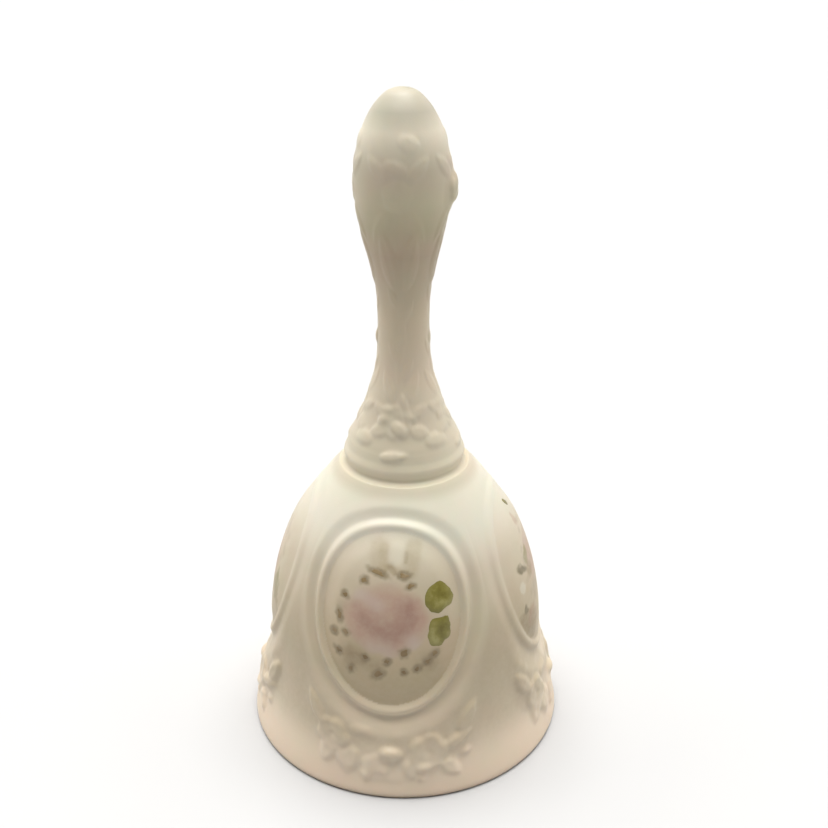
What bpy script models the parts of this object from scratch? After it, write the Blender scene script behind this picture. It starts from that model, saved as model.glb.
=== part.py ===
"""Pressed opal glass hand bell, with a clapper on a wire chain inside it.

Metres, +Z up.  The origin is the centre of the mouth, on the plane that the rim stands on.
One of the four oval medallions faces -Y.
"""

import math

import bmesh
import bpy
from mathutils import Matrix, Vector

# ---------------------------------------------------------------- driving dimensions
HEIGHT = 0.1748                 # foot of the rim to the tip of the handle
MOUTH_RADIUS = 0.0435           # widest point, just above the foot
FOOT_OUTER = 0.0430             # flat ring that the bell stands on
FOOT_INNER = 0.0405
SHOULDER_Z = 0.0782             # where the skirt meets the collar
CROWN_Z = 0.0755                # ceiling of the cavity at the socket's mouth
SOCKET_RADIUS = 0.0040
SOCKET_TOP = 0.0876

GAP = 0.0003                    # clearance between neighbouring solids
WIRE = 0.0011                   # diameter of every wire
LINK_LENGTH = 0.0100            # outside, along the chain
LINK_WIDTH = 0.0060             # outside
LINK_COUNT = 5
EYE_RADIUS = 0.0023             # centreline of both loops
EYE_BOTTOM = 0.0680             # height of the anchor eye's lowest centreline point, the first joint
BEAD_RADIUS = 0.0075
BEAD_DROP = 0.0129              # last joint down to the bead's centre
PIN_HEAD_RADIUS = 0.0012

MEDALLIONS = 4
RING_CENTRE = 0.0500            # middle of a medallion, up the outside of the skirt from the foot
RING_HALF_HEIGHT = 0.0248       # to the middle of the raised bead, along the surface
RING_HALF_WIDTH = 0.0203        # the same, around the skirt
RING_WIRE = 0.0011              # radius of the raised bead
RING_SINK = 0.0004              # how far the bead's centreline lies under the surface

TURN_STEPS = 56                 # segments of the glass, a multiple of four
RING_STEPS = 36
LINK_BOW_STEPS = 6
EYE_STEPS = 14

# Outer outline of the skirt as (radius, height), shoulder to rim.
SKIRT_OUTLINE = (
    (0.0172, SHOULDER_Z),
    (0.0205, 0.0745),
    (0.0252, 0.0683),
    (0.0304, 0.0598),
    (0.0344, 0.0487),
    (0.0367, 0.0380),
    (0.0378, 0.0280),
    (0.0388, 0.0195),
    (0.0404, 0.0122),
    (0.0424, 0.0056),
    (MOUTH_RADIUS, 0.0022),
    (FOOT_OUTER, 0.0),
)

# Collar: a thin disc with a rounded edge over a shallow groove, top to bottom.
COLLAR_OUTLINE = (
    (0.0139, 0.0850),
    (0.0150, 0.0836),
    (0.0157, 0.0822),
    (0.0155, 0.0808),
    (0.0153, 0.0796),
    (0.0158, 0.0787),
)

# Handle, tip to the foot of its flare.
HANDLE_OUTLINE = (
    (0.0, HEIGHT),
    (0.0025, 0.1744),
    (0.0046, 0.1732),
    (0.0068, 0.1708),
    (0.0088, 0.1674),
    (0.0109, 0.1615),
    (0.0118, 0.1540),
    (0.0115, 0.1478),
    (0.0103, 0.1408),
    (0.0081, 0.1325),
    (0.0067, 0.1245),
    (0.0064, 0.1180),
    (0.0066, 0.1110),
    (0.0072, 0.1045),
    (0.0090, 0.0985),
    (0.0107, 0.0930),
    (0.0133, 0.0872),
)

# Cavity, mouth to the edge of the socket.
CAVITY_OUTLINE = (
    (FOOT_INNER, 0.0),
    (0.0398, 0.0025),
    (0.0380, 0.0090),
    (0.0357, 0.0170),
    (0.0344, 0.0260),
    (0.0333, 0.0360),
    (0.0310, 0.0470),
    (0.0266, 0.0580),
    (0.0207, 0.0667),
    (0.0130, 0.0727),
    (0.0060, 0.0752),
)


# ---------------------------------------------------------------- scene and materials
def clear_scene():
    for old in list(bpy.data.objects):
        bpy.data.objects.remove(old, do_unlink=True)


def new_collection(name):
    made = bpy.data.collections.new(name)
    bpy.context.scene.collection.children.link(made)
    return made


def material(name, colour, roughness, metallic=0.0):
    made = bpy.data.materials.new(name)
    made.use_nodes = True
    shader = made.node_tree.nodes["Principled BSDF"]
    shader.inputs["Base Color"].default_value = (*colour, 1.0)
    shader.inputs["Roughness"].default_value = roughness
    shader.inputs["Metallic"].default_value = metallic
    made.diffuse_color = (*colour, 1.0)
    return made


def opal_glass():
    return material("opal_glass", (0.80, 0.74, 0.62), 0.42)


def cement():
    return material("cement", (0.62, 0.58, 0.50), 0.90)


def brass_wire():
    return material("brass_wire", (0.72, 0.56, 0.30), 0.30, 1.0)


def bead_glass():
    return material("bead_glass", (0.84, 0.80, 0.72), 0.18)


# ---------------------------------------------------------------- helpers
def place(obj, collection, shader):
    collection.objects.link(obj)
    obj.data.materials.append(shader)
    return obj


def turned(name, outline, collection, shader, steps=TURN_STEPS):
    """A solid of revolution about Z.  The outline runs down the outside, top to bottom."""
    mesh = bpy.data.meshes.new(name)
    maker = bmesh.new()
    verts = [maker.verts.new((radius, 0.0, height)) for radius, height in outline]
    for start, end in zip(verts, verts[1:]):
        maker.edges.new((start, end))
    if outline[0][0] > 0.0:
        maker.edges.new((verts[-1], verts[0]))
    maker.to_mesh(mesh)
    maker.free()
    obj = place(bpy.data.objects.new(name, mesh), collection, shader)
    screw = obj.modifiers.new("turn", "SCREW")
    screw.steps = steps
    screw.render_steps = steps
    screw.use_merge_vertices = True
    screw.merge_threshold = 0.00001
    screw.use_smooth_shade = True
    return obj


def wire(name, points, collection, shader, radius=WIRE / 2.0, cyclic=False, resolution=2):
    """A round wire through `points`, with filled ends unless it is closed."""
    curve = bpy.data.curves.new(name, "CURVE")
    curve.dimensions = "3D"
    curve.bevel_depth = radius
    curve.bevel_resolution = resolution
    curve.use_fill_caps = not cyclic
    spline = curve.splines.new("POLY")
    spline.points.add(len(points) - 1)
    for target, point in zip(spline.points, points):
        target.co = (*point, 1.0)
    spline.use_cyclic_u = cyclic
    spline.use_smooth = True
    return place(bpy.data.objects.new(name, curve), collection, shader)


def as_mesh(obj):
    """The curve object `obj` as a mesh object with welded caps, in the same place."""
    bpy.context.view_layer.update()
    evaluated = obj.evaluated_get(bpy.context.evaluated_depsgraph_get())
    mesh = bpy.data.meshes.new_from_object(evaluated)
    maker = bmesh.new()
    maker.from_mesh(mesh)
    bmesh.ops.remove_doubles(maker, verts=maker.verts, dist=0.000002)
    maker.to_mesh(mesh)
    maker.free()
    name = obj.name
    collection = obj.users_collection[0]
    made = bpy.data.objects.new(name, mesh)
    made.matrix_world = obj.matrix_world
    bpy.data.objects.remove(obj, do_unlink=True)
    made.name = name
    collection.objects.link(made)
    return made


def combine(target, cutters, operation):
    """Adds or cuts each of `cutters` on `target`, and marks them as guides."""
    for cutter in cutters:
        cutter.hide_render = True
        cutter.display_type = "WIRE"
        change = target.modifiers.new(cutter.name, "BOOLEAN")
        change.operation = operation
        change.object = cutter
        change.solver = "EXACT"


def skirt_point(distance):
    """Radius and height on the skirt, `distance` up its outline from the foot."""
    outline = [Vector(p) for p in reversed(SKIRT_OUTLINE)]
    for lower, upper in zip(outline, outline[1:]):
        span = (upper - lower).length
        if distance <= span:
            return lower.lerp(upper, distance / span)
        distance -= span
    return outline[-1]


# ---------------------------------------------------------------- the glass
def medallion_ring(index, collection, shader):
    """The raised oval bead of one medallion, lying half in the skirt."""
    facing = -math.pi / 2.0 + index * 2.0 * math.pi / MEDALLIONS
    points = []
    for step in range(RING_STEPS):
        turn = 2.0 * math.pi * step / RING_STEPS
        radius, height = skirt_point(RING_CENTRE + RING_HALF_HEIGHT * math.sin(turn))
        angle = facing + RING_HALF_WIDTH * math.cos(turn) / radius
        radius -= RING_SINK
        points.append((radius * math.cos(angle), radius * math.sin(angle), height))
    ring = wire("medallion_ring_%d" % index, points, collection, shader, RING_WIRE, True, 1)
    return as_mesh(ring)


def bell_glass(parts, cutters, shader):
    socket = ((SOCKET_RADIUS, CROWN_Z), (SOCKET_RADIUS, SOCKET_TOP), (0.0, SOCKET_TOP))
    outline = HANDLE_OUTLINE + COLLAR_OUTLINE + SKIRT_OUTLINE + CAVITY_OUTLINE + socket
    glass = turned("bell_glass", outline, parts, shader)
    rings = [medallion_ring(index, cutters, shader) for index in range(MEDALLIONS)]
    combine(glass, rings, "UNION")
    return glass


# ---------------------------------------------------------------- what hangs inside
def eye_points(centre_z, shank_end, facing):
    """A shank and an open loop in the XZ plane.  `facing` is 1 with the shank above, -1 below."""
    neck = EYE_RADIUS + WIRE + GAP
    points = [(0.0, 0.0, shank_end), (0.0, 0.0, centre_z + facing * neck)]
    start = math.radians(128.0)
    sweep = math.radians(300.0)
    for step in range(EYE_STEPS + 1):
        turn = start + sweep * step / EYE_STEPS
        points.append((EYE_RADIUS * math.cos(turn), 0.0, centre_z + facing * EYE_RADIUS * math.sin(turn)))
    return points


def anchor_eye(parts, shader):
    centre = EYE_BOTTOM + EYE_RADIUS
    return wire("anchor_eye", eye_points(centre, SOCKET_TOP - 0.0020, 1.0), parts, shader)


def anchor_plug(parts, shader):
    """A short cylinder of cement with a blind hole from below for the eye's shank."""
    outer = SOCKET_RADIUS - GAP
    bore = WIRE / 2.0 + GAP
    top = SOCKET_TOP - GAP
    bottom = CROWN_Z + GAP
    bore_top = SOCKET_TOP - 0.0020 + GAP
    outline = [
        (0.0, top),
        (outer - 0.0004, top),
        (outer, top - 0.0004),
        (outer, bottom + 0.0004),
        (outer - 0.0004, bottom),
        (bore, bottom),
        (bore, bore_top),
        (0.0, bore_top),
    ]
    return turned("anchor_plug", outline, parts, shader, 24)


def link_points():
    """Centreline of one link in the YZ plane, about its own centre."""
    bow = (LINK_WIDTH - WIRE) / 2.0
    straight = (LINK_LENGTH - WIRE) / 2.0 - bow
    points = []
    for end in (1.0, -1.0):
        for step in range(LINK_BOW_STEPS + 1):
            turn = math.pi * step / LINK_BOW_STEPS
            points.append((0.0, end * bow * math.cos(turn), end * (straight + bow * math.sin(turn))))
    return points


def joint_height(number):
    """Height of the joint that link `number` hangs from, counted from 1."""
    pitch = LINK_LENGTH - 2.0 * WIRE - GAP
    return EYE_BOTTOM - (number - 1) * pitch


def chain(parts, shader):
    """Five links, each hanging from the one above, turned a quarter from it."""
    centre_drop = (LINK_LENGTH - WIRE) / 2.0 - WIRE - GAP
    quarter = Matrix.Rotation(math.pi / 2.0, 4, "Z")
    for number in range(1, LINK_COUNT + 1):
        pivot = bpy.data.objects.new("pivot_link_%d" % number, None)
        pivot.location = (0.0, 0.0, joint_height(number))
        parts.objects.link(pivot)
        points = [Vector(p) - Vector((0.0, 0.0, centre_drop)) for p in link_points()]
        if number % 2 == 0:
            points = [quarter @ p for p in points]
        link = wire("chain_link_%d" % number, points, parts, shader, cyclic=True)
        link.parent = pivot


def clapper_pivot(parts):
    pivot = bpy.data.objects.new("pivot_clapper", None)
    pivot.location = (0.0, 0.0, joint_height(LINK_COUNT + 1))
    parts.objects.link(pivot)
    return pivot


def clapper_pin(parts, cutters, pivot, shader):
    """Loop, shank and upset head, joined into one solid."""
    centre = WIRE + GAP - EYE_RADIUS
    head = -BEAD_DROP - BEAD_RADIUS - GAP - PIN_HEAD_RADIUS * 0.75
    pin = as_mesh(wire("clapper_pin", eye_points(centre, head, -1.0), parts, shader))
    bpy.ops.mesh.primitive_uv_sphere_add(segments=16, ring_count=10, radius=PIN_HEAD_RADIUS)
    knob = bpy.context.object
    knob.name = "pin_head"
    knob.data.transform(Matrix.Translation((0.0, 0.0, head)))
    for owner in list(knob.users_collection):
        owner.objects.unlink(knob)
    cutters.objects.link(knob)
    pin.parent = pivot
    knob.parent = pivot
    combine(pin, [knob], "UNION")
    return pin


def clapper_bead(parts, pivot, shader):
    """A glass ball with a hole through it and a small chamfer at each end of the hole."""
    bore = WIRE / 2.0 + GAP
    chamfer = 0.0004
    first = math.asin((bore + chamfer) / BEAD_RADIUS)
    steps = 12
    outline = [(bore, BEAD_RADIUS * math.cos(first) - chamfer)]
    for step in range(steps + 1):
        turn = first + (math.pi - 2.0 * first) * step / steps
        outline.append((BEAD_RADIUS * math.sin(turn), BEAD_RADIUS * math.cos(turn)))
    outline.append((bore, -BEAD_RADIUS * math.cos(first) + chamfer))
    bead = turned("clapper_bead", outline, parts, shader, 24)
    bead.location = (0.0, 0.0, -BEAD_DROP)
    bead.parent = pivot
    return bead


def main():
    clear_scene()
    parts = new_collection("glass_bell")
    cutters = new_collection("cutters")
    opal = opal_glass()
    metal = brass_wire()
    bell_glass(parts, cutters, opal)
    anchor_plug(parts, cement())
    anchor_eye(parts, metal)
    chain(parts, metal)
    pivot = clapper_pivot(parts)
    clapper_pin(parts, cutters, pivot, metal)
    clapper_bead(parts, pivot, bead_glass())


main()
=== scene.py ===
import math

import bmesh
import bpy
import numpy as np
from mathutils import Matrix, Vector


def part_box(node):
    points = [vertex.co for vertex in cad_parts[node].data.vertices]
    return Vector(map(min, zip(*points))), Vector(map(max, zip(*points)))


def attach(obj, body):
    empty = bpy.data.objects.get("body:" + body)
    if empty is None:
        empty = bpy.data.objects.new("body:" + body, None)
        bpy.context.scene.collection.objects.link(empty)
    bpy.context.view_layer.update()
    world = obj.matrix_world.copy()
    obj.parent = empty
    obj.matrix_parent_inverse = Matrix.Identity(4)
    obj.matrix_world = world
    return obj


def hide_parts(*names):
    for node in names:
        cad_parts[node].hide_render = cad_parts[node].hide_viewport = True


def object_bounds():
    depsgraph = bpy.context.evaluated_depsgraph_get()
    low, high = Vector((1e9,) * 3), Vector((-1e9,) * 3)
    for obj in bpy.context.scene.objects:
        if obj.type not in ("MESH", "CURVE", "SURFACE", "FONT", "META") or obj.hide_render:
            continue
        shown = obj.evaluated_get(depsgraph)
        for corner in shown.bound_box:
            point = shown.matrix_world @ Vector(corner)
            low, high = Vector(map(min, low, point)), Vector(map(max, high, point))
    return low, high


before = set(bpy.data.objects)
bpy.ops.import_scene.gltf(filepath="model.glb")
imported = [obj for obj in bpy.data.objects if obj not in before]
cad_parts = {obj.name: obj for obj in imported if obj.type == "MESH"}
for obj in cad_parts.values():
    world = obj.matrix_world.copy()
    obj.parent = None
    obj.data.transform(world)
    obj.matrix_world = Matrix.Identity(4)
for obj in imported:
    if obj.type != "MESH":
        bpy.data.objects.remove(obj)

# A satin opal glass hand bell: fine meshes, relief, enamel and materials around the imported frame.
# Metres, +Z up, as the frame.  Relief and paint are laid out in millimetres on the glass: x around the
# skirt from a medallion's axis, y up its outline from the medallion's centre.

MM = 0.001
CAD_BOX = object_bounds()

# ---- the form of the glass
HEIGHT = CAD_BOX[1].z
MOUTH_RADIUS = CAD_BOX[1].x
SKIRT_COLUMNS = 720
SKIRT_STEP = 0.36 * MM
HANDLE_COLUMNS = 360
HANDLE_STEP = 0.32 * MM
COLLAR_STEP = 0.22 * MM
INSIDE_STEP = 1.6 * MM

SKIRT_OUTLINE = (
    (0.0428, 0.0), (0.0432, 0.0003), (MOUTH_RADIUS - 0.00004, 0.0014), (0.0429, 0.0038), (0.0416, 0.0080),
    (0.0402, 0.0128), (0.0388, 0.0195), (0.0378, 0.0280), (0.0367, 0.0380), (0.0344, 0.0487),
    (0.0304, 0.0598), (0.0252, 0.0683), (0.0205, 0.0745), (0.0172, 0.0782),
)
COLLAR_OUTLINE = (
    (0.0172, 0.0782), (0.0165, 0.0783), (0.0159, 0.0786), (0.0156, 0.0791), (0.0157, 0.0800),
    (0.0159, 0.0809), (0.0159, 0.0817), (0.0156, 0.0825), (0.0152, 0.0834), (0.0149, 0.0844),
    (0.0146, 0.0853),
)
HANDLE_OUTLINE = (
    (0.0146, 0.0853), (0.0142, 0.0862), (0.0137, 0.0873), (0.0121, 0.0902), (0.0106, 0.0934),
    (0.0090, 0.0985), (0.0073, 0.1045), (0.0066, 0.1110), (0.0064, 0.1180), (0.0067, 0.1245),
    (0.0081, 0.1325), (0.0103, 0.1408), (0.0115, 0.1478), (0.0118, 0.1540), (0.0111, 0.1605),
    (0.0095, 0.1658), (0.0073, 0.1701), (0.0046, 0.1732), (0.0023, 0.17448), (0.00005, HEIGHT),
)
CAVITY_OUTLINE = (
    (0.0411, 0.0), (0.0405, 0.0003), (0.0401, 0.0012), (0.0396, 0.0035), (0.0380, 0.0090), (0.0357, 0.0170),
    (0.0344, 0.0260), (0.0333, 0.0360), (0.0310, 0.0470), (0.0266, 0.0580), (0.0207, 0.0667),
    (0.0130, 0.0727), (0.0060, 0.0752), (0.0044, 0.0755), (0.0040, 0.0759),
)
SOCKET_TOP = 0.0876
SOCKET_OUTLINE = ((0.0040, 0.0765), (0.0040, SOCKET_TOP - 0.0003), (0.0037, SOCKET_TOP))

# ---- the medallions, in millimetres
MEDALLIONS = 4
OVAL_HALF_WIDTH = 20.3
OVAL_HALF_HEIGHT = 24.8
OVAL_CENTRE = 50.0
# Height of the surface across the oval's border, against the distance out from the middle of its bead.
BORDER = ((-6.4, 0.0), (-1.8, -0.62), (0.0, 0.42), (2.1, -0.80), (5.0, 0.10), (7.5, 0.0))
PILLOW = 0.55
# How sharp the mould left each side's border, from -Y round through +X, and how much returns at its foot.
BORDER_SHARP = (1.0, 0.28, 1.0, 0.28)
BORDER_FOOT = 0.45
GARLAND_FOOT = -44.6
GARLAND_SAG = 0.0185
GARLAND_MELT = 4


# ---- small numeric helpers
def ease(t):
    t = np.clip(t, 0.0, 1.0)
    return t * t * (3.0 - 2.0 * t)


def through(points, value):
    """A smooth line through (position, height) points, level at each of them."""
    result = np.full_like(value, points[0][1])
    for (p0, h0), (p1, h1) in zip(points, points[1:]):
        share = ease((value - p0) / (p1 - p0))
        result = np.where(value > p0, h0 + (h1 - h0) * share, result)
    return np.where(value > points[-1][0], points[-1][1], result)


def catmull(points, steps=24):
    """A smooth line through the points."""
    p = np.array([points[0], *points, points[-1]], float)
    t = np.linspace(0.0, 1.0, steps, endpoint=False)[:, None]
    parts = []
    for i in range(len(points) - 1):
        p0, p1, p2, p3 = p[i:i + 4]
        parts.append(0.5 * (2 * p1 + (p2 - p0) * t + (2 * p0 - 5 * p1 + 4 * p2 - p3) * t ** 2
                            + (3 * p1 - p0 - 3 * p2 + p3) * t ** 3))
    parts.append(p[-1:])
    return np.concatenate(parts)


def lengths(line):
    return np.concatenate([[0.0], np.cumsum(np.hypot(*np.diff(line, axis=0).T))])


def spaced(line, step):
    """The line again with points `step` apart, and their distances along it."""
    along = lengths(line)
    count = max(2, int(round(along[-1] / step)) + 1)
    place = np.linspace(0.0, along[-1], count)
    return np.stack([np.interp(place, along, line[:, k]) for k in (0, 1)], 1), place


def outward(line):
    """Unit normals in the (radius, height) plane, which point out where the line goes up."""
    step = np.gradient(line, axis=0)
    normal = np.stack([step[:, 1], -step[:, 0]], 1)
    return normal / np.maximum(np.linalg.norm(normal, axis=1, keepdims=True), 1e-12)


def wrapped(angle):
    return (angle + math.pi) % (2.0 * math.pi) - math.pi


def facing(index):
    """The angle that a medallion faces: the first one -Y, then round through +X."""
    return -math.pi / 2.0 + index * 2.0 * math.pi / MEDALLIONS


def on_side(angle, index):
    """How far each angle is turned from a medallion's axis, and whether it is on that medallion's side."""
    turn = wrapped(angle - facing(index))
    return turn, np.abs(turn) <= math.pi / MEDALLIONS + 1e-9


def speckle(x, y, seed, scale):
    """Smooth value noise in -1..1 on a plane, the same each run."""
    rng = np.random.default_rng(seed)
    table = rng.uniform(-1.0, 1.0, (64, 64))
    u, v = x / scale, y / scale
    i, j = np.floor(u).astype(int), np.floor(v).astype(int)
    fu, fv = ease(u - i), ease(v - j)
    def corner(a, b):
        return table[(i + a) % 64, (j + b) % 64]
    low = corner(0, 0) * (1 - fu) + corner(1, 0) * fu
    high = corner(0, 1) * (1 - fu) + corner(1, 1) * fu
    return low * (1 - fv) + high * fv


# ---- relief stamps, in millimetres
def turned_to(x, y, place, angle):
    """Coordinates about `place`, with u along `angle` (degrees)."""
    a = math.radians(angle)
    dx, dy = x - place[0], y - place[1]
    return dx * math.cos(a) + dy * math.sin(a), -dx * math.sin(a) + dy * math.cos(a)


def petal(u, v, angle, reach, size, height):
    """One cupped petal, higher at its outer edge, about (u, v) = 0."""
    out, across = turned_to(u, v, (0.0, 0.0), angle)
    out = out - reach
    far = np.hypot(out / (0.86 * size), across / size)
    tilt = 0.50 + 0.50 * ease(0.55 + 0.5 * out / size)
    body = np.sqrt(np.clip(1.0 - far ** 4, 0.0, 1.0)) * (1.0 - 0.30 * np.clip(1.0 - far ** 2, 0.0, 1.0))
    return np.where(far < 1.0, height * tilt * body, 0.0)


def rose(x, y, place, radius, height, turn=0.0, petals=5, heart=0.95):
    """A full-blown rose: overlapping petals in two rings about a folded heart."""
    u, v = turned_to(x, y, place, turn)
    form = np.zeros_like(u)
    for k in range(petals):
        form = np.maximum(form, petal(u, v, k * 360.0 / petals, 0.54 * radius, 0.50 * radius,
                                      height * (0.70 + 0.05 * k)))
    for k in range(3):
        form = np.maximum(form, petal(u, v, k * 120.0 + 40.0, 0.26 * radius, 0.36 * radius,
                                      height * (heart + 0.06 * k)))
    far = np.hypot(u, v) / radius
    form = form - 0.30 * height * np.exp(-(far / 0.13) ** 2)
    return np.maximum(form, 0.0)


def leaf(x, y, base, angle, length, width, height, veins=5):
    """A pointed leaf from its base, with a midrib, veins and a toothed edge."""
    u, v = turned_to(x, y, base, angle)
    along = u / length
    inside = (along > 0.0) & (along < 1.0)
    share = np.clip(along, 0.0, 1.0)
    edge = 0.5 * width * np.sin(math.pi * share ** 0.75) ** 0.8
    edge = edge * (1.0 + 0.05 * np.cos(share * math.pi * 2.0 * (veins + 2)))
    across = np.abs(v) / np.maximum(edge, 1e-6)
    rise = np.sqrt(np.clip(1.0 - across ** 2, 0.0, 1.0)) * ease(share / 0.15) ** 0.5
    rib = -0.30 * np.exp(-(v / (0.10 * width)) ** 2)
    lines = 0.06 * np.cos((u - 0.8 * np.abs(v)) * 2.0 * math.pi * veins / length)
    lines = lines * np.clip(1.2 - across, 0.0, 1.0)
    return np.where(inside & (across < 1.0), height * np.maximum(rise * (1.0 + rib + lines), 0.0), 0.0)


def bud(x, y, place, angle, length, width, height):
    u, v = turned_to(x, y, place, angle)
    far = np.hypot(u / (0.5 * length), v / (0.5 * width))
    seam = 0.18 * np.exp(-(v / (0.12 * width)) ** 2)
    return height * np.where(far < 1.0, np.sqrt(np.clip(1.0 - far ** 2, 0.0, 1.0)) * (1.0 - seam), 0.0)


def from_line(x, y, points):
    """Distance from a smooth line through the points."""
    line = catmull(points, 10)
    nearest = np.full(x.shape, 1e9)
    for (ax, ay), (bx, by) in zip(line, line[1:]):
        dx, dy = bx - ax, by - ay
        t = np.clip(((x - ax) * dx + (y - ay) * dy) / (dx * dx + dy * dy + 1e-12), 0.0, 1.0)
        nearest = np.minimum(nearest, np.hypot(x - ax - t * dx, y - ay - t * dy))
    return nearest


def stem(x, y, points, thickness, height):
    """A rounded ridge along a line of points."""
    far = from_line(x, y, points) / (0.5 * thickness)
    return height * np.sqrt(np.clip(1.0 - far ** 2, 0.0, 1.0))


# ---- relief of the skirt
def from_oval(x, y):
    """Distance out from the middle of the oval's bead."""
    far = np.hypot(x / OVAL_HALF_WIDTH, y / OVAL_HALF_HEIGHT)
    slope = np.hypot(x / OVAL_HALF_WIDTH ** 2, y / OVAL_HALF_HEIGHT ** 2) / np.maximum(far, 1e-6)
    return (far - 1.0) / np.maximum(slope, 1e-6)


def border(x, y, index):
    """Height of an oval's full field and of the coves and bead round it, softer towards the collar."""
    far = np.hypot(x / OVAL_HALF_WIDTH, y / OVAL_HALF_HEIGHT)
    sharp = BORDER_SHARP[index] + (1.0 - BORDER_SHARP[index]) * BORDER_FOOT * ease((-10.0 - y) / 8.0)
    edge = sharp * through(BORDER, from_oval(x, y)) * (1.0 - 0.46 * ease((y - 2.0) / 20.0))
    return edge + PILLOW * np.clip(1.0 - far ** 2, 0.0, 1.0)


# What hangs under an oval: leaves (base, angle, length, width, height), roses (place, radius, height, turn,
# petals, how full the heart is), then buds and single petals (place, angle, length, width, height).
GARLAND = (
    (leaf, (-18.0, -31.5), 120, 9.0, 4.6, 0.85), (leaf, (-15.2, -36.2), 245, 7.0, 5.2, 0.95),
    (leaf, (-12.4, -36.8), 284, 7.4, 4.8, 0.95), (leaf, (-9.0, -35.8), 262, 7.4, 4.6, 0.80),
    (leaf, (-4.6, -37.6), 268, 6.2, 3.8, 0.75), (leaf, (5.2, -38.4), 285, 5.6, 3.4, 0.75),
    (leaf, (14.2, -39.2), 318, 7.0, 4.2, 0.95), (leaf, (14.8, -35.6), 24, 8.4, 4.0, 1.10),
    (leaf, (18.6, -32.6), 62, 9.6, 4.8, 0.95), (leaf, (-10.6, -31.6), 12, 6.4, 3.2, 0.45),
    (rose, (10.4, -36.2), 5.4, 1.50, 75.0, 5, 0.62), (rose, (-14.9, -33.9), 5.0, 1.55, 130.0, 5, 0.70),
    (rose, (-1.6, -39.6), 3.4, 0.90, 10.0, 5, 0.80), (bud, (0.9, -36.6), -4, 6.2, 3.5, 1.60),
    (bud, (9.4, -40.6), 4, 5.4, 2.5, 1.45), (bud, (9.1, -43.7), 10, 2.8, 1.8, 0.90),
    (bud, (-5.6, -43.4), 100, 3.2, 2.2, 0.80), (bud, (20.8, -38.2), 20, 3.2, 2.3, 0.85),
)


def stamped(x, y, stamps):
    """The highest at each point of a list of (shape, *its measures)."""
    form = np.zeros_like(x)
    for shape, *measures in stamps:
        form = np.maximum(form, shape(x, y, *measures))
    return form


def garland(x, y):
    """Roses, buds and leaves hung under an oval, on a scalloped cloth of leaves."""
    out = from_oval(x, y)
    low = GARLAND_FOOT + GARLAND_SAG * (x - 1.0) ** 2
    above = y - low + 0.7 * np.abs(np.sin(x * 0.42 + 0.4))
    cloth = (0.30 * ease(above / 0.9) + 0.62 * ease(above / 9.0)) * ease((out - 4.2) / 3.4)
    cloth = cloth * ease((26.0 - np.abs(x)) / 9.0)
    cloth = cloth * (y < -12.0) * (1.0 + 0.20 * speckle(x + 60.0, y + 60.0, 7, 2.6))
    cloth = cloth * (1.0 - 0.75 * np.exp(-((x - 0.8) / 2.4) ** 2 - ((y + 40.2) / 1.5) ** 2))
    return cloth + stamped(x, y, GARLAND)


def softened(grid, passes):
    """The grid, whose rows go up and whose columns go round, with its edges melted a little."""
    for _ in range(passes):
        grid = 0.25 * np.roll(grid, 1, 1) + 0.5 * grid + 0.25 * np.roll(grid, -1, 1)
        tall = np.pad(grid, ((1, 1), (0, 0)), "edge")
        grid = 0.25 * tall[:-2] + 0.5 * tall[1:-1] + 0.25 * tall[2:]
    return grid


def skirt_relief(angle, radius, distance):
    """Height of the relief at grids of angle (radians), radius and distance up the outline (metres)."""
    total = np.zeros_like(angle)
    hung = np.zeros_like(angle)
    for index in range(MEDALLIONS):
        turn, near = on_side(angle, index)
        x = turn[near] * radius[near] / MM
        y = distance[near] / MM - OVAL_CENTRE
        total[near] = border(x, y, index)
        hung[near] = garland(x, y)
    fade = ease(distance / (3.0 * MM)) * ease((distance.max() - distance) / (1.2 * MM))
    return (total + softened(hung, GARLAND_MELT)) * fade * MM


# ---- relief of the handle
# Values for the four sides, from -Y round through +X: the mould left some of them softer.
FLARE_SPRAY = (0.85, 0.45, 0.85, 0.45)
GRIP_ROSE = (0.40, 0.95, 0.50, 0.45)
GRIP_SWELL = (0.0, 1.05, 0.0, 0.1)
HANDLE_MELT = 4
NECK_BUD = (0.25, 0.45, 0.25, 0.75)
CORNER = math.pi / MEDALLIONS
# The foot of the flare: a rose with lifted petals and a leaf under it, then the leaves on both its sides.
FLARE = (
    (leaf, (-4.8, 85.0), 7.0, 7.6, 2.4, 0.85, 3), (rose, (-0.6, 93.4), 4.4, 0.85, 30.0),
    (bud, (0.0, 91.8), -38.0, 5.4, 3.2, 1.35), (bud, (-4.2, 93.6), 30.0, 4.0, 2.3, 1.00),
    (bud, (-3.0, 96.2), 5.0, 4.6, 2.0, 0.70), (bud, (2.5, 94.6), -20.0, 4.6, 2.0, 0.70),
    (bud, (1.1, 98.2), -70.0, 4.6, 1.8, 0.60),
)
FLARE_PAIRS = (
    (leaf, (3.0, 91.6), -18.0, 5.6, 3.2, 0.60, 3), (leaf, (3.2, 94.6), 30.0, 5.0, 3.0, 0.50, 3),
    (leaf, (1.8, 98.0), 70.0, 8.0, 3.2, 0.40),
)
# One petal lies across each corner of the handle, measured from that corner.
CORNER_PETAL = ((-1.2, 88.5), -4.0, 9.4, 3.6, 0.95)
NECK_STEM = ((0.4, 98.0), (-0.5, 106.0), (0.5, 114.0), (0.0, 126.0))
NECK_LEAVES = ((1.0, 103.5), (-1.0, 108.0), (1.0, 119.0), (-1.0, 122.5))
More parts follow.
